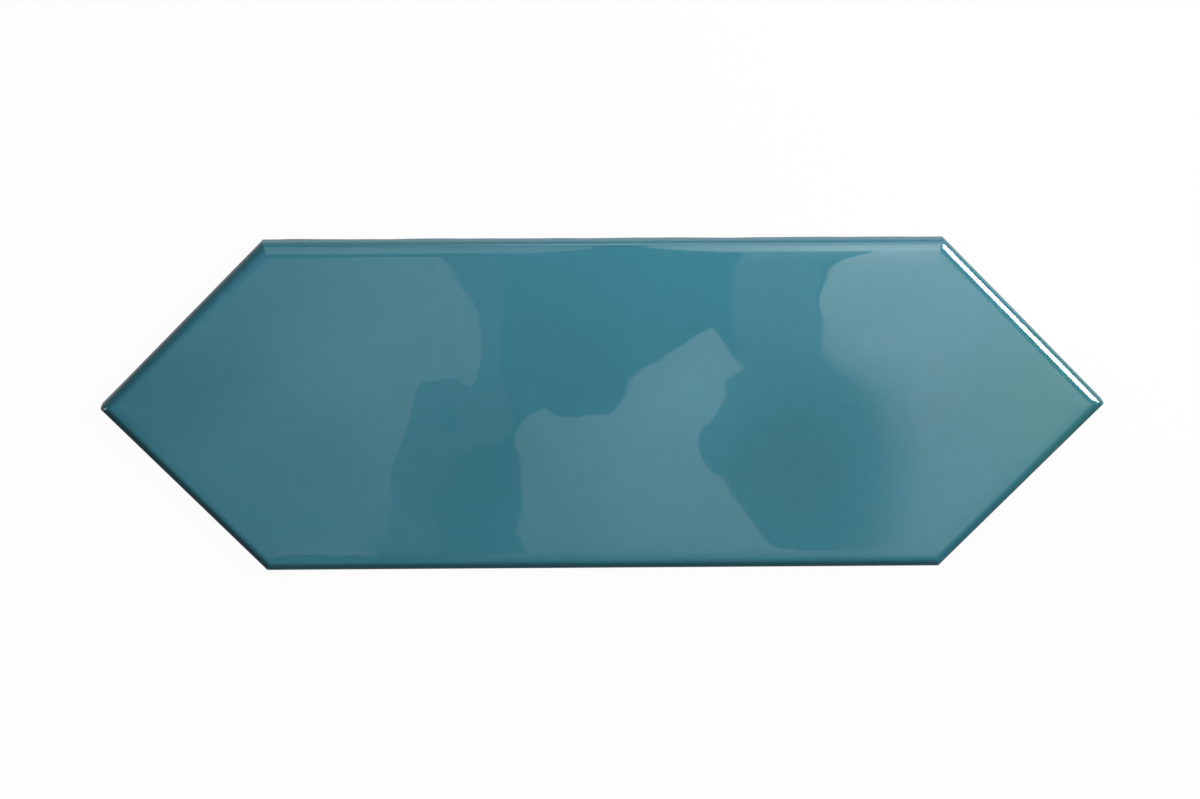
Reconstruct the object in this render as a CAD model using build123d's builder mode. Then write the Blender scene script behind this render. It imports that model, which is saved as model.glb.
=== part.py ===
"""A picket tile: a pressed and glazed ceramic wall tile, a long hexagon with a nearly right-angled point at each end.

Millimetres, +Z out of the glazed face. The origin is the centre of the back, on the plane that the tile lies on.
"""

import math
import os

from build123d import *

# Outline of the glazed face
LENGTH = 300.0  # from point to point
WIDTH = 100.0  # across the two long sides
POINT_REACH = 49.0  # how far each point stands out beyond the ends of the long sides

# Section
THICKNESS = 8.0  # from the back to the mean level of the face
SHOULDER = 4.5  # height at which the sides stop leaning and stand upright
SIDE_DRAFT = 4.0  # degrees by which the sides below the shoulder lean in towards the back
BACK_CHAMFER = 0.5  # broken edge round the back

# Edge of the face: it eases off, falls away in a band along the outline, then rolls over on to the side
EASE_WIDTH = 4.8  # from the outline to where the face begins to ease off
EASE_ANGLE = 5.0  # degrees
FALL_WIDTH = 2.6  # from the outline to where the fall begins
FALL_ANGLE = 15.0  # degrees
ROLL_RADIUS = 1.2

# Key on the back: grooves that the adhesive grips, inside a plain border
KEY_PITCH = 8.0  # from groove to groove
KEY_WIDTH = 4.0  # at the mouth of a groove
KEY_DEPTH = 0.7
KEY_DRAFT = 30.0  # degrees by which the walls of a groove lean
KEY_BORDER = 6.0  # plain land between the chamfer and the grooves

# Waves of the face. Each swell is a place along and across the tile, a spread along and across it,
# and a height at its middle, which is negative for a hollow.
SWELLS = (
    (-58.0, 19.0, 18.0, 14.0, -0.22),
    (-26.0, 25.0, 9.0, 13.0, 0.12),
    (-83.0, -30.0, 19.0, 19.0, 0.26),
    (-43.0, -20.0, 16.0, 15.0, -0.13),
    (3.0, -19.0, 15.0, 12.0, 0.11),
    (51.0, -13.0, 18.0, 14.0, -0.24),
    (-12.0, 16.0, 13.0, 12.0, -0.17),
    (36.0, 40.0, 14.0, 14.0, 0.13),
    (32.0, 6.0, 16.0, 15.0, -0.06),
    (100.0, -32.0, 18.0, 20.0, 0.24),
    (83.0, 26.0, 15.0, 13.0, -0.17),
    (-47.0, 7.0, 9.0, 8.0, -0.06),
    (-38.0, -1.0, 8.0, 6.0, -0.11),
    (22.0, -11.0, 7.0, 5.0, 0.025),
)
WAVE_STEP = 5.0  # spacing of the points that carry the waves

half_length = LENGTH / 2
half_width = WIDTH / 2
half_point = math.atan2(half_width, POINT_REACH)
ease_slope = math.tan(math.radians(EASE_ANGLE))
fall_slope = math.tan(math.radians(FALL_ANGLE))
fall_top = THICKNESS - (EASE_WIDTH - FALL_WIDTH) * ease_slope
wall_top = fall_top - FALL_WIDTH * fall_slope
mid_fall = (wall_top + fall_top) / 2
back_inset = SHOULDER * math.tan(math.radians(SIDE_DRAFT))
crest = THICKNESS + sum(max(swell[-1], 0.0) for swell in SWELLS)


def picket_run(inset, across):
    """How far the picket outline, drawn in by inset, reaches along the tile at a given distance across it."""
    return half_length - inset / math.sin(half_point) - across / math.tan(half_point)


def picket_corners(inset):
    """The six corners of the picket outline, drawn in by inset on all sides."""
    side = half_width - inset
    run = picket_run(inset, side)
    point = picket_run(inset, 0)
    return [(run, side), (point, 0), (run, -side), (-run, -side), (-point, 0), (-run, side)]


def swell_height(x, y):
    """Height of the face above its mean level: a sum of bells, each with its own spread and height."""
    height = 0.0
    for middle_x, middle_y, spread_x, spread_y, rise in SWELLS:
        u = (x - middle_x) / spread_x
        v = (y - middle_y) / spread_y
        height += rise * math.exp(-(u * u + v * v) / 2)
    return height


def wavy_face():
    """The face as one spline surface, a little larger than the tile all round."""
    columns = math.ceil(half_length / WAVE_STEP) + 1
    rows = math.ceil(half_width / WAVE_STEP) + 1
    points = [
        [
            (i * WAVE_STEP, j * WAVE_STEP, THICKNESS + swell_height(i * WAVE_STEP, j * WAVE_STEP))
            for j in range(-rows, rows + 1)
        ]
        for i in range(-columns, columns + 1)
    ]
    return Face.make_surface_from_array_of_points(points)


with BuildPart() as picket_tile:
    # The pressed body: it leans in below the shoulder and stands upright above it.
    with BuildSketch(Plane.XY):
        Polygon(*picket_corners(back_inset), align=None)
    with BuildSketch(Plane.XY.offset(SHOULDER)):
        Polygon(*picket_corners(0), align=None)
    loft(ruled=True)
    with BuildSketch(Plane.XY.offset(SHOULDER)):
        Polygon(*picket_corners(0), align=None)
    extrude(amount=wall_top - SHOULDER)

    # The edge of the face: six slopes rise steeply from the walls, then gently to above the waves.
    with BuildSketch(Plane.XY.offset(wall_top)):
        Polygon(*picket_corners(0), align=None)
    with BuildSketch(Plane.XY.offset(fall_top)):
        Polygon(*picket_corners(FALL_WIDTH), align=None)
    loft(ruled=True)
    with BuildSketch(Plane.XY.offset(fall_top)):
        Polygon(*picket_corners(FALL_WIDTH), align=None)
    with BuildSketch(Plane.XY.offset(crest)):
        Polygon(*picket_corners(FALL_WIDTH + (crest - fall_top) / ease_slope), align=None)
    loft(ruled=True)
    rim = picket_tile.edges().filter_by(Plane.XY).filter_by_position(Axis.Z, SHOULDER, mid_fall, (False, False))
    fillet(rim, ROLL_RADIUS)

    # The face: everything above the waves is taken away.
    extrude(wavy_face(), amount=THICKNESS, dir=(0, 0, 1), mode=Mode.SUBTRACT)

    # The back: its edge is broken, and each groove of the key runs as far as the border lets it.
    chamfer(picket_tile.faces().sort_by(Axis.Z)[0].edges(), BACK_CHAMFER)
    groove_inset = back_inset + BACK_CHAMFER + KEY_BORDER + KEY_WIDTH / 2
    rows_a_side = math.floor((half_width - groove_inset) / KEY_PITCH)
    with BuildSketch(Plane.XY):
        for row in range(-rows_a_side, rows_a_side + 1):
            across = row * KEY_PITCH
            with Locations((0, across)):
                SlotCenterToCenter(2 * picket_run(groove_inset, abs(across)), KEY_WIDTH)
    extrude(amount=KEY_DEPTH, taper=KEY_DRAFT, mode=Mode.SUBTRACT)

picket_tile.part.label = "picket_tile"

os.makedirs("parts", exist_ok=True)
export_step(picket_tile.part, "parts/picket_tile.step")

box = picket_tile.part.bounding_box()
print("picket_tile", box.size, "solids", len(picket_tile.solids()), "volume", round(picket_tile.part.volume, 1))
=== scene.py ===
# %% [markdown]
# A picket tile, photographed flat on a white sweep. The tile is one pressed piece with a fused glaze, so
# its solid is already right and only its looks are made here. The imported solid comes in as a fixed
# frame, and it gives the body that the tile rides on.

# %% Load the frame
import math

import bpy
import numpy as np
from mathutils import Matrix, Vector
from mathutils.geometry import delaunay_2d_cdt


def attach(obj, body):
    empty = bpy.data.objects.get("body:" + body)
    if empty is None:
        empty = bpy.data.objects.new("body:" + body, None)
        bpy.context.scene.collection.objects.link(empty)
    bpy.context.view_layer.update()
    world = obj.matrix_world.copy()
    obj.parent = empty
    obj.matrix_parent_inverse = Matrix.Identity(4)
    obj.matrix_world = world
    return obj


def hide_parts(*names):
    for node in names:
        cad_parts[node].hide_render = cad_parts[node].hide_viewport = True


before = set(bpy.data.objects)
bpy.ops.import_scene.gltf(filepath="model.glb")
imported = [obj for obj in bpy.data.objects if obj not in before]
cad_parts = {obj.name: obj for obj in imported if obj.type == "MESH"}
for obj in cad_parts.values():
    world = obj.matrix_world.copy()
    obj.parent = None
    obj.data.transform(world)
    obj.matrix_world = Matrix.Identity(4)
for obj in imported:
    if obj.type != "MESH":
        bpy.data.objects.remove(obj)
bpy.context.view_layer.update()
scene = bpy.context.scene
MM = 0.001

# %% [markdown]
# The camera comes first, so that every later look can be judged in the photograph's own framing. Lines
# fitted to the six edges in the picture show the tile almost straight on, with the camera leaning a
# little over its upper long side and a touch to the left. The lens is long, because the two long sides
# stay nearly parallel. Its length follows from how many pixels one millimetre of the tile takes up, and
# the small shift from where the middle of the tile falls in the picture.

# %% Camera
PICTURE_WIDE = 1200
CAMERA_AWAY = 1400.0
CAMERA_LEAN = math.radians(13.1)
CAMERA_ASIDE = math.radians(-1.8)
CAMERA_ROLL = math.radians(0.08)
PIXELS_PER_MM = 3.354
SENSOR = 36.0
FACE_LEVEL = 8.0
MIDDLE_OFF = (3.9, -7.6)
SIGHT_METRES = 50.0

eye = bpy.data.cameras.new("photo_camera")
eye.sensor_width = SENSOR
eye.lens = PIXELS_PER_MM * CAMERA_AWAY * SENSOR / PICTURE_WIDE
eye.shift_x = -MIDDLE_OFF[0] / PICTURE_WIDE
eye.shift_y = -MIDDLE_OFF[1] / PICTURE_WIDE
eye.clip_end = SIGHT_METRES
camera = bpy.data.objects.new("photo_camera", eye)
scene.collection.objects.link(camera)
turned = Matrix.Rotation(CAMERA_ROLL, 4, "Z") @ Matrix.Rotation(CAMERA_ASIDE, 4, "Y")
turned = turned @ Matrix.Rotation(-CAMERA_LEAN, 4, "X")
face_middle = Vector((0, 0, FACE_LEVEL * MM))
eye_offset = turned @ Vector((0, 0, CAMERA_AWAY))
camera.matrix_world = Matrix.Translation(face_middle + eye_offset * MM) @ turned
scene.camera = camera
print("lens", round(eye.lens, 1), "mm, camera at", [round(c, 3) for c in camera.matrix_world.translation])

# %% [markdown]
# The outline is a long hexagon with a nearly right-angled point at each end. Almost everything on the
# tile follows that outline at some distance inwards: the fall of the glaze, the roll, the side and the
# border of the back. So one function gives the six corners drawn in by any distance, and the rest builds
# on it.

# %% The picket outline
LENGTH = 300.0
WIDTH = 100.0
POINT_REACH = 49.0
half_length = LENGTH / 2
half_width = WIDTH / 2
half_point = math.atan2(half_width, POINT_REACH)


def picket_corners(inset):
    """Six corners, anticlockwise from the upper right, of the outline drawn in by inset on every side.

    The long sides move in by the inset itself. A point moves in by the inset over the sine of half its angle.
    """
    inset = np.asarray(inset, float)
    side = half_width - inset
    point = half_length - inset / math.sin(half_point)
    run = point - side / math.tan(half_point)
    zero = np.zeros_like(side)
    x = np.stack([run, -run, -point, -run, run, point], -1)
    y = np.stack([side, side, zero, -side, -side, zero], -1)
    return np.stack([x, y], -1)


def side_distances(x, y):
    """Distances in from the nearer long side, and from the line through the nearest slanted side."""
    to_side = half_width - np.abs(y)
    to_slant = (half_length - np.abs(x)) * math.sin(half_point) - np.abs(y) * math.cos(half_point)
    return to_side, to_slant


def rim_distance(x, y):
    """Distance in from the outline: the lesser of the distances to a long side and to a slanted side."""
    return np.minimum(*side_distances(x, y))


print("corners in mm", picket_corners(0.0).round(1).tolist())

# %% [markdown]
# A glazed tile of this kind isn't flat. The pressed face has broad, shallow swells, and they are what
# bends the reflections of the lamps into the soft-edged patches of the photograph. A bump texture could
# fake them, but then the edge and the silhouette would stay straight, so they are real heights, a few
# tenths of a millimetre, from a short list of bells that the solid has too.

# %% Waves of the face
SWELLS = (
    (-58.0, 19.0, 18.0, 14.0, -0.22),
    (-26.0, 25.0, 9.0, 13.0, 0.12),
    (-83.0, -30.0, 19.0, 19.0, 0.26),
    (-43.0, -20.0, 16.0, 15.0, -0.13),
    (3.0, -19.0, 15.0, 12.0, 0.11),
    (51.0, -13.0, 18.0, 14.0, -0.24),
    (-12.0, 16.0, 13.0, 12.0, -0.17),
    (36.0, 40.0, 14.0, 14.0, 0.13),
    (32.0, 6.0, 16.0, 15.0, -0.06),
    (100.0, -32.0, 18.0, 20.0, 0.24),
    (83.0, 26.0, 15.0, 13.0, -0.17),
    (-47.0, 7.0, 9.0, 8.0, -0.06),
    (-38.0, -1.0, 8.0, 6.0, -0.11),
    (22.0, -11.0, 7.0, 5.0, 0.025),
)


def bell_sum(bells, x, y):
    """A sum of bells, each exp(-(u squared + v squared) / 2) times its own height, where u and v are the
    distances from its middle in units of its spread along and across the tile."""
    middle_x, middle_y, spread_x, spread_y, rise = np.array(bells).T
    u = (x[..., None] - middle_x) / spread_x
    v = (y[..., None] - middle_y) / spread_y
    return (rise * np.exp(-(u * u + v * v) / 2)).sum(-1)


sample_along = np.arange(-half_length, half_length + 1)
sample_x, sample_y = np.meshgrid(sample_along, np.arange(-half_width, half_width + 1))
on_tile = rim_distance(sample_x, sample_y) > 0
sample = bell_sum(SWELLS, sample_x, sample_y)[on_tile]
print("waves from", sample.min().round(3), "to", sample.max().round(3), "mm")

# %% [markdown]
# Along the outline the glaze draws down: the face eases off in a wide, faint slope, steepens in a band
# along the rim, then rolls over on to the side. These meet in soft bends, not sharp creases, because
# molten glaze flows. A smooth minimum of the heights gives such a bend in one formula, so nothing has to
# be blended afterwards.

# %% Height of the glazed face
THICKNESS = 8.0
EASE_WIDTH = 4.8
EASE_ANGLE = math.radians(5.0)
FALL_WIDTH = 2.6
FALL_ANGLE = math.radians(15.0)
EASE_BEND = 0.06
FALL_BEND = 0.06
ease_slope, fall_slope = math.tan(EASE_ANGLE), math.tan(FALL_ANGLE)
fall_top = THICKNESS - (EASE_WIDTH - FALL_WIDTH) * ease_slope
wall_top = fall_top - FALL_WIDTH * fall_slope


def smooth_min(a, b, bend):
    """The lesser of a and b, rounded where they cross: half of a + b - sqrt((a - b)^2 + bend^2)."""
    return 0.5 * (a + b - np.sqrt((a - b) ** 2 + bend**2))


def face_height(x, y, inset):
    """The wavy face, cut down by the easing slope and the steeper fall, each a straight rise from the rim."""
    wavy = THICKNESS + bell_sum(SWELLS, x, y)
    ease = fall_top + ease_slope * (inset - FALL_WIDTH)
    fall = wall_top + fall_slope * inset
    return smooth_min(wavy, smooth_min(ease, fall, FALL_BEND), EASE_BEND)


print("the fall meets the side at", round(wall_top, 3), "mm")

# %% [markdown]
# The middle of the face is a plain grid of about a millimetre, fine enough to carry every swell with
# smooth shading. The slanted sides run at nearly 45 degrees, so the columns in the two points lie a hair
# closer than the rest, and the slants cut the grid exactly corner to corner: whole squares inside, half
# squares along the slants, and no slivers. The same table that numbers the points gives the loop of
# points round its edge, for the band to join.

# %% The face as a grid
BAND_REACH = 9.0
GRID_STEP = 1.0

grid_side = half_width - BAND_REACH
grid_corners = picket_corners(BAND_REACH)
grid_run = grid_corners[0, 0]
rows = round(grid_side / GRID_STEP)
columns = round(2 * grid_run / GRID_STEP)
slant_step = (grid_corners[5, 0] - grid_run) / rows

row_y = np.linspace(-grid_side, grid_side, 2 * rows + 1)
tail = grid_run + slant_step * np.arange(1, rows + 1)
column_x = np.concatenate([-tail[::-1], np.linspace(-grid_run, grid_run, columns + 1), tail])
row_number = np.abs(np.arange(-rows, rows + 1))
tail_number = np.concatenate([np.arange(rows, 0, -1), np.zeros(columns + 1, int), np.arange(1, rows + 1)])
inside = row_number[:, None] + tail_number[None, :] <= rows
number = np.where(inside, np.cumsum(inside).reshape(inside.shape) - 1, -1)

grid_x, grid_y = np.meshgrid(column_x, row_y)
face_x, face_y = grid_x[inside], grid_y[inside]
face_points = np.stack([face_x, face_y, face_height(face_x, face_y, rim_distance(face_x, face_y))], -1)

cells = np.stack([number[:-1, :-1], number[:-1, 1:], number[1:, 1:], number[1:, :-1]], -1).reshape(-1, 4)
missing = (cells < 0).sum(1)
face_quads = cells[missing == 0]
halves = cells[missing == 1]
face_triangles = halves[halves >= 0].reshape(-1, 3)

first, last = rows, rows + columns
along = np.arange(rows)
loop = [
    number[-1, np.arange(last, first, -1)],
    number[2 * rows - along, first - along],
    number[rows - along, along],
    number[0, np.arange(first, last)],
    number[along, last + along],
    number[rows + along, last + rows - along],
]
side_counts = [len(side) for side in loop]
print("face:", len(face_points), "points,", len(face_quads), "squares,", len(face_triangles), "half squares")

# %% [markdown]
# The edge is a profile carried round the outline: down the fall, over the roll, down the side and under
# to the back. Each row of it is the outline drawn in by some distance, with its corners rounded a
# little. The stations along a row answer the points round the face one to one, and a corner's short arc
# closes on the corner of the face in a small fan, so there is no seam.

# %% Stations round the outline
CORNER_RADIUS = 0.6
CORNER_STEPS = 4
quarter = math.pi / 2
lean = np.array([-half_point, 0, half_point, -half_point, 0, half_point, -half_point])
side_normals = quarter * np.array([1, 1, 1, 3, 3, 3, 5]) + lean
corner_share = np.linspace(0, 1, CORNER_STEPS + 1)
corner_turn = side_normals[:-1, None] + np.diff(side_normals)[:, None] * corner_share
corner_ray = np.stack([np.cos(corner_turn), np.sin(corner_turn)], -1)


def round_outline(inset, radius):
    """Rows of points along the outline drawn in by inset, with corners rounded by radius.

    A corner is an arc about the corner of the outline drawn in by inset + radius. It turns from the normal
    of one side to that of the next. The side between two arcs is divided evenly.
    """
    inset, radius = np.asarray(inset, float), np.asarray(radius, float)
    arcs = picket_corners(inset + radius)[:, :, None] + radius[:, None, None, None] * corner_ray
    parts = []
    for corner, count in enumerate(side_counts):
        start, end = arcs[:, corner, -1:], arcs[:, (corner + 1) % 6, :1]
        share = np.arange(1, count)[:, None] / count
        parts += [arcs[:, corner], start + (end - start) * share]
    return np.concatenate(parts, 1)


inner_loop = np.concatenate([np.concatenate([np.repeat(side[:1], CORNER_STEPS), side]) for side in loop])
stations = len(inner_loop)
way_round = np.arange(stations) / stations * 2 * math.pi
print(stations, "stations a row")

# %% [markdown]
# From the face outwards the profile first follows the fall, where its height still depends on the waves,
# and then the roll, a quarter round whose centre lies one radius in from the side. The waves leave a
# small offset where the roll begins. It fades out over the roll, so that the side below starts at one
# level all round.

# %% Rows of the fall and the roll
ROLL_RADIUS = 1.2
ROLL_STEPS = 9
BAND_STEP = 0.6
FINE_FROM = 4.2
FINE_STEPS = 12

roll_turn = np.linspace(FALL_ANGLE, quarter, ROLL_STEPS)
roll_inset = ROLL_RADIUS * (1 - np.sin(roll_turn))
roll_centre = wall_top + fall_slope * ROLL_RADIUS - ROLL_RADIUS / math.cos(FALL_ANGLE)
roll_level = roll_centre + ROLL_RADIUS * np.cos(roll_turn)

coarse_inset = np.arange(BAND_REACH - BAND_STEP, FINE_FROM + BAND_STEP / 2, -BAND_STEP)
fall_inset = np.concatenate([coarse_inset, np.linspace(FINE_FROM, roll_inset[0], FINE_STEPS)])
fall_xy = round_outline(fall_inset, CORNER_RADIUS * (1 - fall_inset / BAND_REACH))
fall_z = face_height(fall_xy[..., 0], fall_xy[..., 1], fall_inset[:, None])
roll_xy = round_outline(roll_inset[1:], CORNER_RADIUS * (1 - roll_inset[1:] / BAND_REACH))
fade = np.linspace(1, 0, ROLL_STEPS)[1:, None]
roll_z = roll_level[1:, None] + (fall_z[-1] - roll_level[0]) * fade
print("roll from", roll_level[0].round(2), "down to", roll_level[-1].round(2), "mm")

# %% [markdown]
# The side is only partly glazed. The glaze runs down over the roll and stops in a wandering lip, and
# below it the bare fired clay shows, set in by the thickness of the coat. The lip's level is a sum of a
# few sines round the outline, whole numbers of waves each, so that it closes on itself.

# %% Rows of the side
SHOULDER = 4.5
SIDE_DRAFT = math.radians(4.0)
BACK_CHAMFER = 0.5
COAT = 0.14
SIDE_STEPS = 4
BARE_STEPS = 3
LIP_IN = np.array([0.3, 1.0])
LIP_DOWN = np.array([0.7, 1.0])
LIP_LEVEL = 0.95
LIP_WANDER = ((11, 0.22, 0.3), (17, 0.18, 1.9), (31, 0.13, 4.0), (53, 0.08, 2.2))

lip_level = LIP_LEVEL + sum(size * np.sin(waves * way_round + start) for waves, size, start in LIP_WANDER)
back_inset = SHOULDER * math.tan(SIDE_DRAFT)
bare_foot = (SHOULDER - BACK_CHAMFER) * math.tan(SIDE_DRAFT) + COAT

side_share = np.linspace(0, 1, SIDE_STEPS + 1)[1:, None]
side_inset = np.zeros(SIDE_STEPS)
side_z = roll_level[-1] + (lip_level - roll_level[-1]) * side_share
lip_inset = LIP_IN * COAT
lip_z = lip_level - LIP_DOWN[:, None] * COAT
bare_share = np.linspace(0, 1, BARE_STEPS + 1)[1:]
bare_inset = COAT + (bare_foot - COAT) * bare_share
bare_z = lip_z[-1] + (BACK_CHAMFER - lip_z[-1]) * bare_share[:, None]
foot_inset = np.array([back_inset + BACK_CHAMFER])
foot_z = np.zeros((1, stations))

below_inset = np.concatenate([side_inset, lip_inset, bare_inset, foot_inset])
below_xy = round_outline(below_inset, np.full(len(below_inset), CORNER_RADIUS))
below_z = np.concatenate([side_z, lip_z, bare_z, foot_z])
glazed_rows = len(fall_inset) + len(roll_turn) - 1 + len(side_inset) + len(lip_inset)
print("lip from", lip_level.min().round(2), "to", lip_level.max().round(2), "mm")

# %% [markdown]
# All rows of the profile become one block of points, and each square between two rows and two stations
# one face. A number on every point says how far it lies in from the roll, or, as a negative number, how
# far down the side. The painted shade along the rim and the painted light on the side are worked out
# from it, and the glaze reads it later to pale the coat near its lip.

# %% The edge as one block
edge_xy = np.concatenate([fall_xy, roll_xy, below_xy])
edge_z = np.concatenate([fall_z, roll_z, below_z])
edge_points = np.concatenate([edge_xy, edge_z[..., None]], -1)
fall_way = np.repeat(fall_inset[:, None], stations, 1)
edge_way = np.concatenate([fall_way, roll_z - roll_level[0], below_z - roll_level[0]])

edge_rows = len(edge_points)
edge_number = len(face_points) + np.arange(edge_rows * stations).reshape(edge_rows, stations)
edge_table = np.concatenate([inner_loop[None], edge_number])
next_station = np.roll(edge_table, -1, axis=1)
edge_cells = np.stack([edge_table[:-1], edge_table[1:], next_station[1:], next_station[:-1]], -1)
row_of_cell = np.repeat(np.arange(edge_rows)[:, None], stations, 1).ravel()
edge_cells = edge_cells.reshape(-1, 4)
fan = edge_cells[:, 0] == edge_cells[:, 3]
edge_quads, quad_row = edge_cells[~fan], row_of_cell[~fan]
edge_fans = edge_cells[fan][:, :3]
print("edge:", edge_rows, "rows,", len(edge_quads), "squares,", len(edge_fans), "fan pieces")

# %% [markdown]
# The back is never glazed. A press leaves it with a plain border and a field of shallow grooves that the
# adhesive keys into. Each groove is a slot with round ends and leaning walls, drawn as two loops, one at
# the mouth and a smaller one at the floor.

# %% Grooves of the back
KEY_PITCH = 8.0
KEY_WIDTH = 4.0
KEY_DEPTH = 0.7
KEY_DRAFT = math.radians(30.0)
KEY_BORDER = 6.0
SLOT_STEPS = 10

groove_inset = back_inset + BACK_CHAMFER + KEY_BORDER + KEY_WIDTH / 2
rows_a_side = math.floor((half_width - groove_inset) / KEY_PITCH)
groove_y = KEY_PITCH * np.arange(-rows_a_side, rows_a_side + 1)
groove_half = half_length - groove_inset / math.sin(half_point) - np.abs(groove_y) / math.tan(half_point)
bend = np.linspace(-quarter, quarter, SLOT_STEPS + 1)
slot_turn = np.concatenate([bend, bend + math.pi])
slot_end = np.repeat([1.0, -1.0], SLOT_STEPS + 1)


def slot_loops(radius, level):
    """One anticlockwise loop a groove: a half circle about each end of its middle line, at one level."""
    x = slot_end * groove_half[:, None] + radius * np.cos(slot_turn)
    y = groove_y[:, None] + radius * np.sin(slot_turn)
    return np.stack([x, y, np.full_like(x, level)], -1)


mouths = slot_loops(KEY_WIDTH / 2, 0.0)
floors = slot_loops(KEY_WIDTH / 2 - KEY_DEPTH * math.tan(KEY_DRAFT), KEY_DEPTH)
print(len(groove_y), "grooves, the longest", round(2 * groove_half.max() + KEY_WIDTH, 1), "mm")

# %% [markdown]
# The flat land between the grooves is a plate with holes. Strips could be fitted round each slot by
# hand, but a constrained triangulation fills the whole plate in one go and keeps every given point, so
# the plate joins the foot of the side and the mouths of the grooves without a gap. The walls and floors
# of the grooves are numbered straight from their loops.

# %% Land between the grooves
PLATE_MERGE = 1e-7
FILL_WITH_HOLES = 2

slot_size = mouths.shape[1]
mouth_start = len(face_points) + edge_points[..., 0].size
mouth_number = mouth_start + np.arange(len(groove_y) * slot_size).reshape(-1, slot_size)
floor_number = mouth_number + mouth_number.size
border_number = edge_number[-1]

land_number = np.concatenate([border_number, mouth_number.ravel()])
land_xy = np.concatenate([edge_points[-1, :, :2], mouths[..., :2].reshape(-1, 2)])
land_loops = [np.arange(stations)] + list(stations + np.arange(mouth_number.size).reshape(-1, slot_size))
land_places = [Vector(place) for place in land_xy]
land_rings = [ring.tolist() for ring in land_loops]
plate = delaunay_2d_cdt(land_places, [], land_rings, FILL_WITH_HOLES, PLATE_MERGE)
land_source = land_number[np.array([source[0] for source in plate[3]])]
land_triangles = land_source[np.array(plate[2])][:, ::-1]

next_mouth = np.roll(mouth_number, -1, axis=1)
next_floor = np.roll(floor_number, -1, axis=1)
groove_walls = np.stack([mouth_number, next_mouth, next_floor, floor_number], -1).reshape(-1, 4)[:, ::-1]
groove_floors = floor_number[:, ::-1]
print("land:", len(land_triangles), "triangles, groove walls:", len(groove_walls))

# %% [markdown]
# A melted glaze is never one even tone. It clouds in broad patches, and it is painted a little greener
# near the right point, where a reflection tints it. Shade is painted along the rim, most on the lower
# left, which is turned from the lamps, and light is painted on the side below the roll, most on the
# upper right, which faces them. A noise would put the clouds anywhere, so the tones are bells at given
# places, like the waves, and the painted shade and light follow the direction that each side faces.
# They are kept as numbers on the points.

# %% Tones of the coat
CLOUDS = (
    (52.0, -22.0, 20.0, 18.0, -0.15),
    (85.0, 36.0, 32.0, 16.0, 0.11),
    (5.0, 42.0, 40.0, 14.0, 0.08),
    (-112.0, 9.0, 15.0, 10.0, -0.08),
    (-82.0, -16.0, 15.0, 10.0, -0.08),
    (-80.0, 16.0, 14.0, 10.0, 0.04),
    (-140.0, 0.0, 14.0, 14.0, -0.15),
    (26.0, 3.0, 14.0, 9.0, 0.15),
    (22.0, -30.0, 22.0, 14.0, 0.08),
    (60.0, 0.0, 14.0, 12.0, -0.06),
    (-106.0, -34.0, 16.0, 8.0, 0.02),
    (103.0, -5.0, 12.0, 10.0, -0.04),
    (95.0, -27.0, 14.0, 8.0, 0.04),
    (-36.0, -16.0, 12.0, 14.0, -0.06),
)
# A greener tint painted near the right point, where a reflection tints the glaze.
REFLECTION_TINTS = ((136.0, 2.0, 14.0, 22.0, 0.8),)
# The next numbers paint shade along the rim on the sides turned from the lamps, and paint light on the side
# below the roll where it faces them.
LIT_FROM = (0.75, 0.65)
RIM_SHADE_DEPTH = 0.78
RIM_SHADE_REACH = 1.9
RIM_SHADE_FADE = 0.25
RIM_SHADE_FOOT = 4.0
RIM_SHADE_FOOT_FADE = 2.5
SIDE_LIGHT_LIFT = 1.8
SIDE_LIGHT_START = 0.5
SIDE_LIGHT_FADE = 0.8
POWER_LIMIT = 30.0


def painted_rim_shading(x, y, rim_way):
    """Painted shade and light on the coat: below 1 where shade is painted on the rim, above 1 where light is.

    The side that a point lies nearest to gives the direction it faces, towards the lamps or away from them.
    The painted shade is half of 1 - facing. It falls off inwards as 1 / (1 + exp((way - reach) / fade)), and
    evenly down the side to the shade's foot. The painted light lies below the roll on the sides facing the
    lamps.
    """
    to_side, to_slant = side_distances(x, y)
    slanted = to_slant < to_side
    facing = np.sign(x) * np.where(slanted, math.sin(half_point), 0) * LIT_FROM[0]
    facing = facing + np.sign(y) * np.where(slanted, math.cos(half_point), 1) * LIT_FROM[1]
    inwards = 1 / (1 + np.exp(np.clip((rim_way - RIM_SHADE_REACH) / RIM_SHADE_FADE, -POWER_LIMIT, POWER_LIMIT)))
    painted_shade = (0.5 - 0.5 * facing) * inwards * np.clip((rim_way + RIM_SHADE_FOOT) / RIM_SHADE_FOOT_FADE, 0, 1)
    painted_light = np.clip(facing, 0, 1) * np.clip((-SIDE_LIGHT_START - rim_way) / SIDE_LIGHT_FADE, 0, 1)
    return (1 - RIM_SHADE_DEPTH * painted_shade) * (1 + SIDE_LIGHT_LIFT * painted_light)


blocks = [face_points, edge_points, mouths, floors]
points = np.concatenate([block.reshape(-1, 3) for block in blocks])
rim_way = np.concatenate([
    rim_distance(face_x, face_y),
    edge_way.ravel(),
    np.full(2 * mouth_number.size, -roll_level[0]),
])
# Clouds times the painted shade along the rim and the painted light on the side.
tone_with_painted_light = 1 + bell_sum(CLOUDS, points[:, 0], points[:, 1])
tone_with_painted_light = tone_with_painted_light * painted_rim_shading(points[:, 0], points[:, 1], rim_way)
reflection_tint = bell_sum(REFLECTION_TINTS, points[:, 0], points[:, 1])
print("tone from", tone_with_painted_light.min().round(2), "to", tone_with_painted_light.max().round(2), "of the plain glaze")

# %% [markdown]
# Everything is one closed surface, so it becomes one mesh. The glaze and the bare clay are two material
# slots, and each face takes one by its index. The surface is shaded smooth, and only real corners, such
# as the lip and the mouths of the grooves, are marked sharp.

# %% The tile as one mesh
SHARP_ANGLE = math.radians(32)

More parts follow.
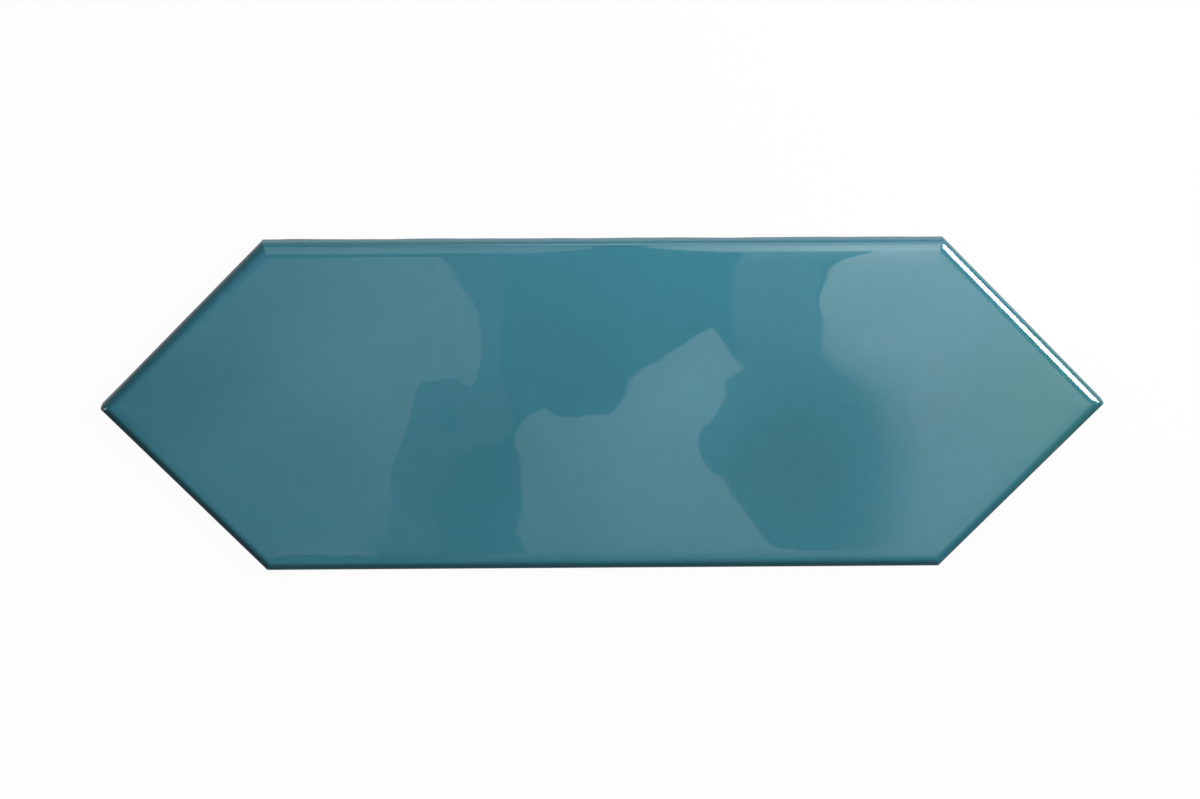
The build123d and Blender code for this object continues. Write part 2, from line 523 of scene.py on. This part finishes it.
glazed = [face_quads, face_triangles, edge_fans, edge_quads[quad_row < glazed_rows]]
bare = [edge_quads[quad_row >= glazed_rows], land_triangles, groove_walls, groove_floors]
faces = [face for block in glazed + bare for face in block.tolist()]
bare_count = sum(len(block) for block in bare)

mesh = bpy.data.meshes.new("glazed_picket_tile")
mesh.from_pydata((points * MM).tolist(), [], faces)
for name, values in (("rim_way", rim_way), ("tone_with_painted_shading", tone_with_painted_light), ("painted_reflection_tint", reflection_tint)):
    mesh.attributes.new(name, "FLOAT", "POINT").data.foreach_set("value", values.astype(np.float32))
slot_index = np.zeros(len(faces), np.int32)
slot_index[-bare_count:] = 1
mesh.polygons.foreach_set("material_index", slot_index)
mesh.polygons.foreach_set("use_smooth", np.ones(len(faces), bool))
mesh.set_sharp_from_angle(angle=SHARP_ANGLE)
mesh.update()

tile = bpy.data.objects.new("glazed_picket_tile", mesh)
scene.collection.objects.link(tile)
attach(tile, "root")
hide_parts("picket_tile")
mesh.calc_loop_triangles()
sound = not mesh.validate(verbose=True)
print("tile:", len(points), "points,", len(mesh.loop_triangles), "triangles, sound:", sound)

# %% [markdown]
# Materials come next. Colours are written as a maker would read them off a swatch, in sRGB, and one
# function turns them to the linear values that the shader works in. A second small function adds a node
# and links it.

# %% Colour and node helpers
def to_linear(swatch):
    """sRGB hex to linear red, green, blue: the dark end is divided by 12.92, the rest follows a 2.4 power."""
    srgb = np.array([int(swatch[i : i + 2], 16) for i in (1, 3, 5)]) / 255
    linear = np.where(srgb <= 0.04045, srgb / 12.92, ((srgb + 0.055) / 1.055) ** 2.4)
    return (*linear.tolist(), 1.0)


def add_node(tree, kind, inputs=None, **settings):
    """A new node of a kind. Settings are its own properties. Inputs go to its sockets by name or number:
    another node's output is linked, and anything else is set as the value."""
    node = tree.nodes.new(kind)
    for name, value in settings.items():
        setattr(node, name, value)
    for name, value in (inputs or {}).items():
        if isinstance(value, bpy.types.NodeSocket):
            tree.links.new(value, node.inputs[name])
        else:
            node.inputs[name].default_value = value
    return node


def new_material(name):
    """An empty material and its tree, with only an output node in it."""
    material = bpy.data.materials.new(name)
    material.use_nodes = True
    material.node_tree.nodes.clear()
    output = material.node_tree.nodes.new("ShaderNodeOutputMaterial")
    return material, material.node_tree, output


def stop_ramp(ramp, stops):
    """Set a colour ramp's stops from pairs of place and colour."""
    while len(ramp.elements) < len(stops):
        ramp.elements.new(1.0)
    for element, (place, colour) in zip(ramp.elements, stops):
        element.position = place
        element.color = colour


def per_mm(size):
    """Scale of a pattern whose features are about size millimetres apart, on coordinates in metres."""
    return 1 / (size * MM)


print("mid grey reads as", [round(c, 3) for c in to_linear("#808080")[:3]])

# %% [markdown]
# The coat is a glossy ceramic glaze in teal: clear glass with colour in it, fused to the clay. It is as
# smooth as poured glass, so its roughness is close to nothing and its IOR is that of glass. Its colour
# starts from one teal, pales towards the lip on the side, turns to the greener tone of the painted
# reflection tint where the points say so, and is then multiplied by the tones kept on the points, which
# hold the clouds, the painted shade along the rim and the painted light on the side, and by two faint
# noises. A very slight ripple on top makes the edges of reflections waver.

# %% Teal glaze
TEAL = "#3A798B"
# The greener teal of the painted reflection tint.
REFLECTION_TEAL = "#3A7981"
TEAL_THIN = "#4A8492"
CLOUD = 38.0
CLOUD_DEPTH = 0.03
MOTTLE = 4.0
MOTTLE_DEPTH = 0.025
NOISE_LOW = 0.3
NOISE_HIGH = 0.7
RIM_REACH = 6.0
RIPPLE = 10.0
RIPPLE_HEIGHT = 0.02
GLAZE_ROUGHNESS = 0.015
GLAZE_IOR = 1.54

glaze, tree, output = new_material("teal_gloss_glaze")
place = add_node(tree, "ShaderNodeTexCoord").outputs["Object"]
cloud = add_node(tree, "ShaderNodeTexNoise", {"Vector": place, "Scale": per_mm(CLOUD), "Detail": 2.0})
mottle = add_node(tree, "ShaderNodeTexNoise", {"Vector": place, "Scale": per_mm(MOTTLE), "Detail": 3.0})
cloud_range = add_node(tree, "ShaderNodeMapRange", {
    "Value": cloud.outputs["Fac"], "From Min": NOISE_LOW, "From Max": NOISE_HIGH,
    "To Min": 1 - CLOUD_DEPTH, "To Max": 1 + CLOUD_DEPTH,
})
mottle_range = add_node(tree, "ShaderNodeMapRange", {
    "Value": mottle.outputs["Fac"], "From Min": NOISE_LOW, "From Max": NOISE_HIGH,
    "To Min": 1 - MOTTLE_DEPTH, "To Max": 1 + MOTTLE_DEPTH,
})
# This attribute holds the clouds, the painted rim shade and the painted side light.
coat = add_node(tree, "ShaderNodeAttribute", attribute_name="tone_with_painted_shading")
tone_and_painted_shading = add_node(tree, "ShaderNodeMath", {
    0: cloud_range.outputs[0], 1: mottle_range.outputs[0],
}, operation="MULTIPLY")
tone_and_painted_shading = add_node(tree, "ShaderNodeMath", {0: tone_and_painted_shading.outputs[0], 1: coat.outputs["Fac"]}, operation="MULTIPLY")

rim = add_node(tree, "ShaderNodeAttribute", attribute_name="rim_way")
rim_place = add_node(tree, "ShaderNodeMapRange", {
    "Value": rim.outputs["Fac"], "From Min": -RIM_REACH, "From Max": RIM_REACH,
})
rim_colour = add_node(tree, "ShaderNodeValToRGB", {"Fac": rim_place.outputs[0]})
stop_ramp(rim_colour.color_ramp, [
    (0.05, to_linear(TEAL_THIN)),
    (0.30, to_linear(TEAL)),
])
# The painted reflection tint turns the colour greener near the right point.
reflection_tint = add_node(tree, "ShaderNodeAttribute", attribute_name="painted_reflection_tint")
hue = add_node(tree, "ShaderNodeMix", {
    0: reflection_tint.outputs["Fac"], 6: rim_colour.outputs["Color"], 7: to_linear(REFLECTION_TEAL),
}, data_type="RGBA")
tone = add_node(tree, "ShaderNodeVectorMath", {0: hue.outputs[2]}, operation="SCALE")
tree.links.new(tone_and_painted_shading.outputs[0], tone.inputs["Scale"])

ripple = add_node(tree, "ShaderNodeTexNoise", {"Vector": place, "Scale": per_mm(RIPPLE), "Detail": 0.0})
relief = add_node(tree, "ShaderNodeBump", {
    "Height": ripple.outputs["Fac"], "Strength": 1.0, "Distance": RIPPLE_HEIGHT * MM,
})
shader = add_node(tree, "ShaderNodeBsdfPrincipled", {
    "Base Color": tone.outputs[0], "Roughness": GLAZE_ROUGHNESS, "IOR": GLAZE_IOR,
    "Normal": relief.outputs["Normal"],
})
tree.links.new(shader.outputs["BSDF"], output.inputs["Surface"])
mesh.materials.append(glaze)
print(glaze.name, len(tree.nodes), "nodes")

# %% [markdown]
# The bare clay of the back and the lower side is fired biscuit: a pale cream body, dead matt and
# slightly gritty like chalk. Its grain is a fraction of a millimetre, drawn here at half a millimetre so
# that it shows.

# %% Cream biscuit
BISCUIT = "#E3DACA"
BISCUIT_DARK = "#CFC3AF"
GRIT = 0.5
STAIN = 25.0
GRIT_HEIGHT = 0.03
CLAY_ROUGHNESS = 0.9
CLAY_IOR = 1.5

biscuit, tree, output = new_material("cream_biscuit_clay")
place = add_node(tree, "ShaderNodeTexCoord").outputs["Object"]
grit = add_node(tree, "ShaderNodeTexNoise", {"Vector": place, "Scale": per_mm(GRIT), "Detail": 2.0})
stain = add_node(tree, "ShaderNodeTexNoise", {"Vector": place, "Scale": per_mm(STAIN), "Detail": 3.0})
blend = add_node(tree, "ShaderNodeMath", {
    0: grit.outputs["Fac"], 1: stain.outputs["Fac"],
}, operation="MULTIPLY")
clay_tone = add_node(tree, "ShaderNodeValToRGB", {"Fac": blend.outputs[0]})
stop_ramp(clay_tone.color_ramp, [(0.12, to_linear(BISCUIT_DARK)), (0.34, to_linear(BISCUIT))])
relief = add_node(tree, "ShaderNodeBump", {
    "Height": grit.outputs["Fac"], "Strength": 1.0, "Distance": GRIT_HEIGHT * MM,
})
shader = add_node(tree, "ShaderNodeBsdfPrincipled", {
    "Base Color": clay_tone.outputs["Color"], "Roughness": CLAY_ROUGHNESS, "IOR": CLAY_IOR,
    "Normal": relief.outputs["Normal"],
})
tree.links.new(shader.outputs["BSDF"], output.inputs["Surface"])
mesh.materials.append(biscuit)
print(biscuit.name, len(tree.nodes), "nodes")

# %% [markdown]
# The tile lies on a white sweep. A real studio over-lights the sweep until it is pure white, which would
# also flood the tile. Here most of the sweep's white is a plain glow that the camera sees, and the rest
# is matt paper, which keeps the tile's soft shadow. To all other rays the paper is a darker grey, so that
# little light comes back up from it, and mirror-like rays see a small share of the glow, because the
# sides of the tile in the photograph show no white floor.

# %% White sweep
SWEEP_REACH = 6000.0
SWEEP_DROP = 0.2
SWEEP_GLOW = 0.95
PAPER = 0.75
PAPER_UNSEEN = 0.15
MIRROR_SHARE = 0.2

sweep_x, sweep_y = np.meshgrid([-SWEEP_REACH, SWEEP_REACH], [-SWEEP_REACH, SWEEP_REACH])
sweep_points = np.stack([sweep_x, sweep_y, np.full_like(sweep_x, -SWEEP_DROP)], -1).reshape(-1, 3)
sweep_mesh = bpy.data.meshes.new("white_sweep")
sweep_mesh.from_pydata((sweep_points * MM).tolist(), [], [[0, 1, 3, 2]])
sweep = bpy.data.objects.new("white_sweep", sweep_mesh)
scene.collection.objects.link(sweep)

paper, tree, output = new_material("matt_white_paper")
path = add_node(tree, "ShaderNodeLightPath")
mirror = add_node(tree, "ShaderNodeMath", {
    0: path.outputs["Is Glossy Ray"], 1: path.outputs["Is Transmission Ray"],
}, operation="ADD")
seen = add_node(tree, "ShaderNodeMath", {
    0: mirror.outputs[0], 1: MIRROR_SHARE, 2: path.outputs["Is Camera Ray"],
}, operation="MULTIPLY_ADD", use_clamp=True)
share = add_node(tree, "ShaderNodeMath", {0: seen.outputs[0], 1: SWEEP_GLOW}, operation="MULTIPLY")
tone = add_node(tree, "ShaderNodeMapRange", {
    "Value": path.outputs["Is Camera Ray"], "To Min": PAPER_UNSEEN, "To Max": PAPER,
})
matt = add_node(tree, "ShaderNodeBsdfDiffuse", {"Color": tone.outputs[0]})
glow = add_node(tree, "ShaderNodeEmission", {"Color": (1, 1, 1, 1), "Strength": 1.0})
mix = add_node(tree, "ShaderNodeMixShader", {0: share.outputs[0], 1: matt.outputs[0], 2: glow.outputs[0]})
tree.links.new(mix.outputs[0], output.inputs["Surface"])
sweep_mesh.materials.append(paper)
print("sweep", 2 * SWEEP_REACH * MM, "m wide")

# %% [markdown]
# A glossy tile shows its lamps, so each softbox is placed by its reflection. Looked at in a flat mirror,
# a lamp plane high above the face seems spread out by a fixed factor and shifted towards the far side.
# The rule in the helper turns that round: it takes the stretch of the face where a lamp should show and
# gives the place of the lamp. The waves then bend the straight borders of the lamps into the patches of
# the photograph.

# %% Softbox helper
LAMP_LEVEL = 900.0
SOFTBOX_STEPS = 8

spread = 1 + LAMP_LEVEL / eye_offset.z
shift = np.array(eye_offset.xy) * LAMP_LEVEL / eye_offset.z

cloths = {}
for name, light in (("white_cloth", "#FFFFFF"), ("warm_cloth", "#FFFBF0")):
    cloths[name], tree, output = new_material(name)
    level = add_node(tree, "ShaderNodeAttribute", attribute_name="glow")
    glow = add_node(tree, "ShaderNodeEmission", {"Color": to_linear(light), "Strength": level.outputs["Fac"]})
    tree.links.new(glow.outputs[0], output.inputs["Surface"])


def finer(marks):
    """Marks with even steps between neighbours along the first axis: one + (next - one) times a share."""
    share = np.linspace(0, 1, SOFTBOX_STEPS, endpoint=False)[:, None, None]
    between = marks[:-1, None] + (marks[1:, None] - marks[:-1, None]) * share
    return np.concatenate([between.reshape(-1, *marks.shape[1:]), marks[-1:]])


def softbox(name, marks, cloth="white_cloth"):
    """A lamp cloth stretched over rows of marks, each a place in mm and a glow there, near row first."""
    spots = finer(finer(np.array(marks, float)).swapaxes(0, 1)).swapaxes(0, 1)
    index = np.arange(spots[..., 0].size).reshape(spots.shape[:2])
    quads = np.stack([index[:-1, :-1], index[1:, :-1], index[1:, 1:], index[:-1, 1:]], -1).reshape(-1, 4)
    box_mesh = bpy.data.meshes.new(name)
    box_mesh.from_pydata((spots[..., :3].reshape(-1, 3) * MM).tolist(), [], quads.tolist())
    strength = spots[..., 3].ravel().astype(np.float32)
    box_mesh.attributes.new("glow", "FLOAT", "POINT").data.foreach_set("value", strength)
    box_mesh.materials.append(cloths[cloth])
    box = bpy.data.objects.new(name, box_mesh)
    scene.collection.objects.link(box)
    box.visible_camera = False


def overhead(name, rows, above=0.0, cloth="white_cloth"):
    """A softbox overhead. Each mark is where that spot would show on a flat face, in mm, and its glow."""
    rows = np.array(rows, float)
    level = np.full_like(rows[..., :1], FACE_LEVEL + LAMP_LEVEL + above)
    softbox(name, np.concatenate([spread * rows[..., :2] - shift, level, rows[..., 2:]], -1), cloth)


print("mirror spread", round(spread, 3), "shift", shift.round(1), "mm")

# %% [markdown]
# Three softboxes hang overhead, with two dim screens between them and a little above, so that cloths
# which overlap lie at different levels. The left one is faint towards the tip. The middle one is
# brightest at its far right corner, and its far border is uneven, as the patch in the photograph is. The
# right one is strong at the far side and fades out softly towards the near left.

# %% Softboxes overhead
overhead("left_softbox", [
    [(-262, -150, 0.1), (-110, -150, 0.55), (-68, -150, 0.6)],
    [(-262, -58, 0.1), (-110, -58, 0.38), (-70, -58, 0.55)],
    [(-262, -48, 0.1), (-110, -48, 0.32), (-61, -48, 0.45)],
    [(-262, -36, 0.11), (-110, -36, 0.33), (-52, -36, 0.44)],
    [(-262, 0, 0.12), (-110, 0, 0.42), (-49, 0, 0.8)],
    [(-262, 108, 0.2), (-110, 108, 0.6), (-49, 108, 1.05)],
])
overhead("left_dim_screen", [
    [(-210, -180, 0.1), (-56, -130, 0.28)],
    [(-210, 108, 0.24), (-24, 108, 0.24)],
], above=10.0)
far_row = [
    (-33, -1, 0.84), (-24, 4.5, 0.87), (-18, 8.2, 0.92), (-17, 6.2, 0.93), (-9.6, 8, 1.0),
    (-0.4, 6.4, 1.08), (4.5, 10.4, 1.12), (23, 11.9, 1.3), (29.5, 14.8, 1.4),
]
row_ends = [
    [(-50, -165, 0.2), (90, -165, 0.55)],
    [(-25, -62, 0.55), (58, -62, 0.85)],
    [(-27, -45, 0.62), (52, -45, 0.92)],
    [(-31, -25, 0.7), (45, -25, 1.05)],
    [(-34, -9, 0.76), (42, -7, 1.2)],
    [(-34, -5, 0.78), (40, -1, 1.24)],
    [(-34, -3.5, 0.8), (43.5, 1.7, 1.28)],
    [(-33.5, -2, 0.82), (40, 5, 1.33)],
]
near_rows = [np.linspace(left, right, len(far_row)) for left, right in row_ends]
overhead("middle_softbox", near_rows + [far_row])
overhead("right_dim_screen", [
    [(41, -90, 0.0), (66, -90, 0.0)],
    [(41, 165, 0.9), (79, 165, 0.9)],
], above=10.0)
overhead("right_softbox", [
    [(60, -170, 0.2), (84, -170, 1.0), (140, -170, 0.9), (260, -170, 0.8)],
    [(67, -16, 0.25), (91, -16, 1.15), (140, -16, 1.4), (260, -16, 1.4)],
    [(69, 8, 0.4), (93, 8, 1.65), (140, 8, 1.7), (260, 8, 1.6)],
    [(73, 28, 2.0), (95, 28, 2.15), (140, 28, 1.8), (260, 28, 1.6)],
    [(75, 60, 3.2), (95, 60, 3.0), (140, 60, 1.9), (238, 60, 1.7)],
    [(79, 162, 3.4), (95, 162, 3.2), (120, 162, 2.6), (152, 162, 1.9)],
], above=5.0, cloth="warm_cloth")

# %% [markdown]
# More lamps stand lower. The key lamp at the upper right draws the white line along the upper right edge
# and makes the tile brighter on that side. A window behind the upper long side, in two panes, draws the
# pale band along it, dim at the left and bright at the right. A strip below it draws the thin line along
# the roll. Two fills have no reflection of their own to draw: a broad faint one behind lights the upper
# side, and one at the left lights that end from where none of the edges mirrors it.

# %% Key lamp, window and fills
KEY_MIDDLE = np.array([367.0, 115.0, 427.0])
KEY_ALONG = np.array([52.0, -54.0, 0.0])
KEY_ACROSS = np.array([24.5, 23.6, -19.0])
KEY_GLOW = 40.0

signs = np.array([[[-1, -1], [1, -1]], [[-1, 1], [1, 1]]])
key_places = KEY_MIDDLE + signs[..., :1] * KEY_ALONG + signs[..., 1:] * KEY_ACROSS
softbox("key_lamp", np.concatenate([key_places, np.full((2, 2, 1), KEY_GLOW)], -1), "warm_cloth")
softbox("left_pane", [
    [(-260, 50, 890, 0.95), (-4, 50, 890, 1.05)],
    [(-260, 320, 760, 0.95), (20, 320, 760, 1.05)],
])
softbox("right_pane", [
    [(82, 60, 890, 1.9), (150, 60, 890, 3.9), (215, 60, 890, 4.2)],
    [(44, 320, 760, 1.9), (140, 320, 760, 3.9), (215, 320, 760, 4.2)],
])
softbox("top_strip", [
    [(-90, 185, 330, 0.2), (0, 185, 330, 2.8), (400, 185, 330, 4.4)],
    [(-90, 450, 330, 0.2), (0, 450, 330, 2.8), (400, 450, 330, 4.4)],
])
softbox("back_fill", [
    [(-700, 480, 240, 0.7), (700, 480, 240, 0.9)],
    [(-700, 520, 20, 0.7), (700, 520, 20, 0.9)],
])
softbox("left_fill", [
    [(-380, -150, 480, 5.1), (-380, 50, 480, 5.1)],
    [(-540, -150, 300, 5.1), (-540, 50, 300, 5.1)],
])
print("key lamp, two panes, the top strip, the back fill and the left fill")

# %% [markdown]
# Around all this is a room: dark overhead, so that the parts of the face that show no lamp keep their
# deep colour. The camera and mirror-like rays also see a pale horizon, where the sweep fades into it.

# %% Room
ROOM_DARK = 0.08
PALE_TO = 0.10
DARK_FROM = 0.35

world = bpy.data.worlds.new("studio_room")
world.use_nodes = True
tree = world.node_tree
tree.nodes.clear()
direction = add_node(tree, "ShaderNodeTexCoord").outputs["Generated"]
height = add_node(tree, "ShaderNodeSeparateXYZ", {"Vector": direction}).outputs["Z"]
room = add_node(tree, "ShaderNodeValToRGB", {"Fac": height})
dark_tone = (ROOM_DARK, ROOM_DARK, ROOM_DARK, 1)
stop_ramp(room.color_ramp, [(PALE_TO, (1, 1, 1, 1)), (DARK_FROM, dark_tone)])
path = add_node(tree, "ShaderNodeLightPath")
mirror = add_node(tree, "ShaderNodeMath", {
    0: path.outputs["Is Glossy Ray"], 1: path.outputs["Is Transmission Ray"],
}, operation="ADD")
seen = add_node(tree, "ShaderNodeMath", {
    0: mirror.outputs[0], 1: path.outputs["Is Camera Ray"],
}, operation="ADD", use_clamp=True)
dark = add_node(tree, "ShaderNodeBackground", {"Color": dark_tone, "Strength": 1.0})
pale = add_node(tree, "ShaderNodeBackground", {"Color": room.outputs["Color"], "Strength": 1.0})
air = add_node(tree, "ShaderNodeMixShader", {0: seen.outputs[0], 1: dark.outputs[0], 2: pale.outputs[0]})
add_node(tree, "ShaderNodeOutputWorld", {"Surface": air.outputs[0]})
scene.world = world
scene.view_settings.view_transform = "Standard"
print("lamps and room in place")
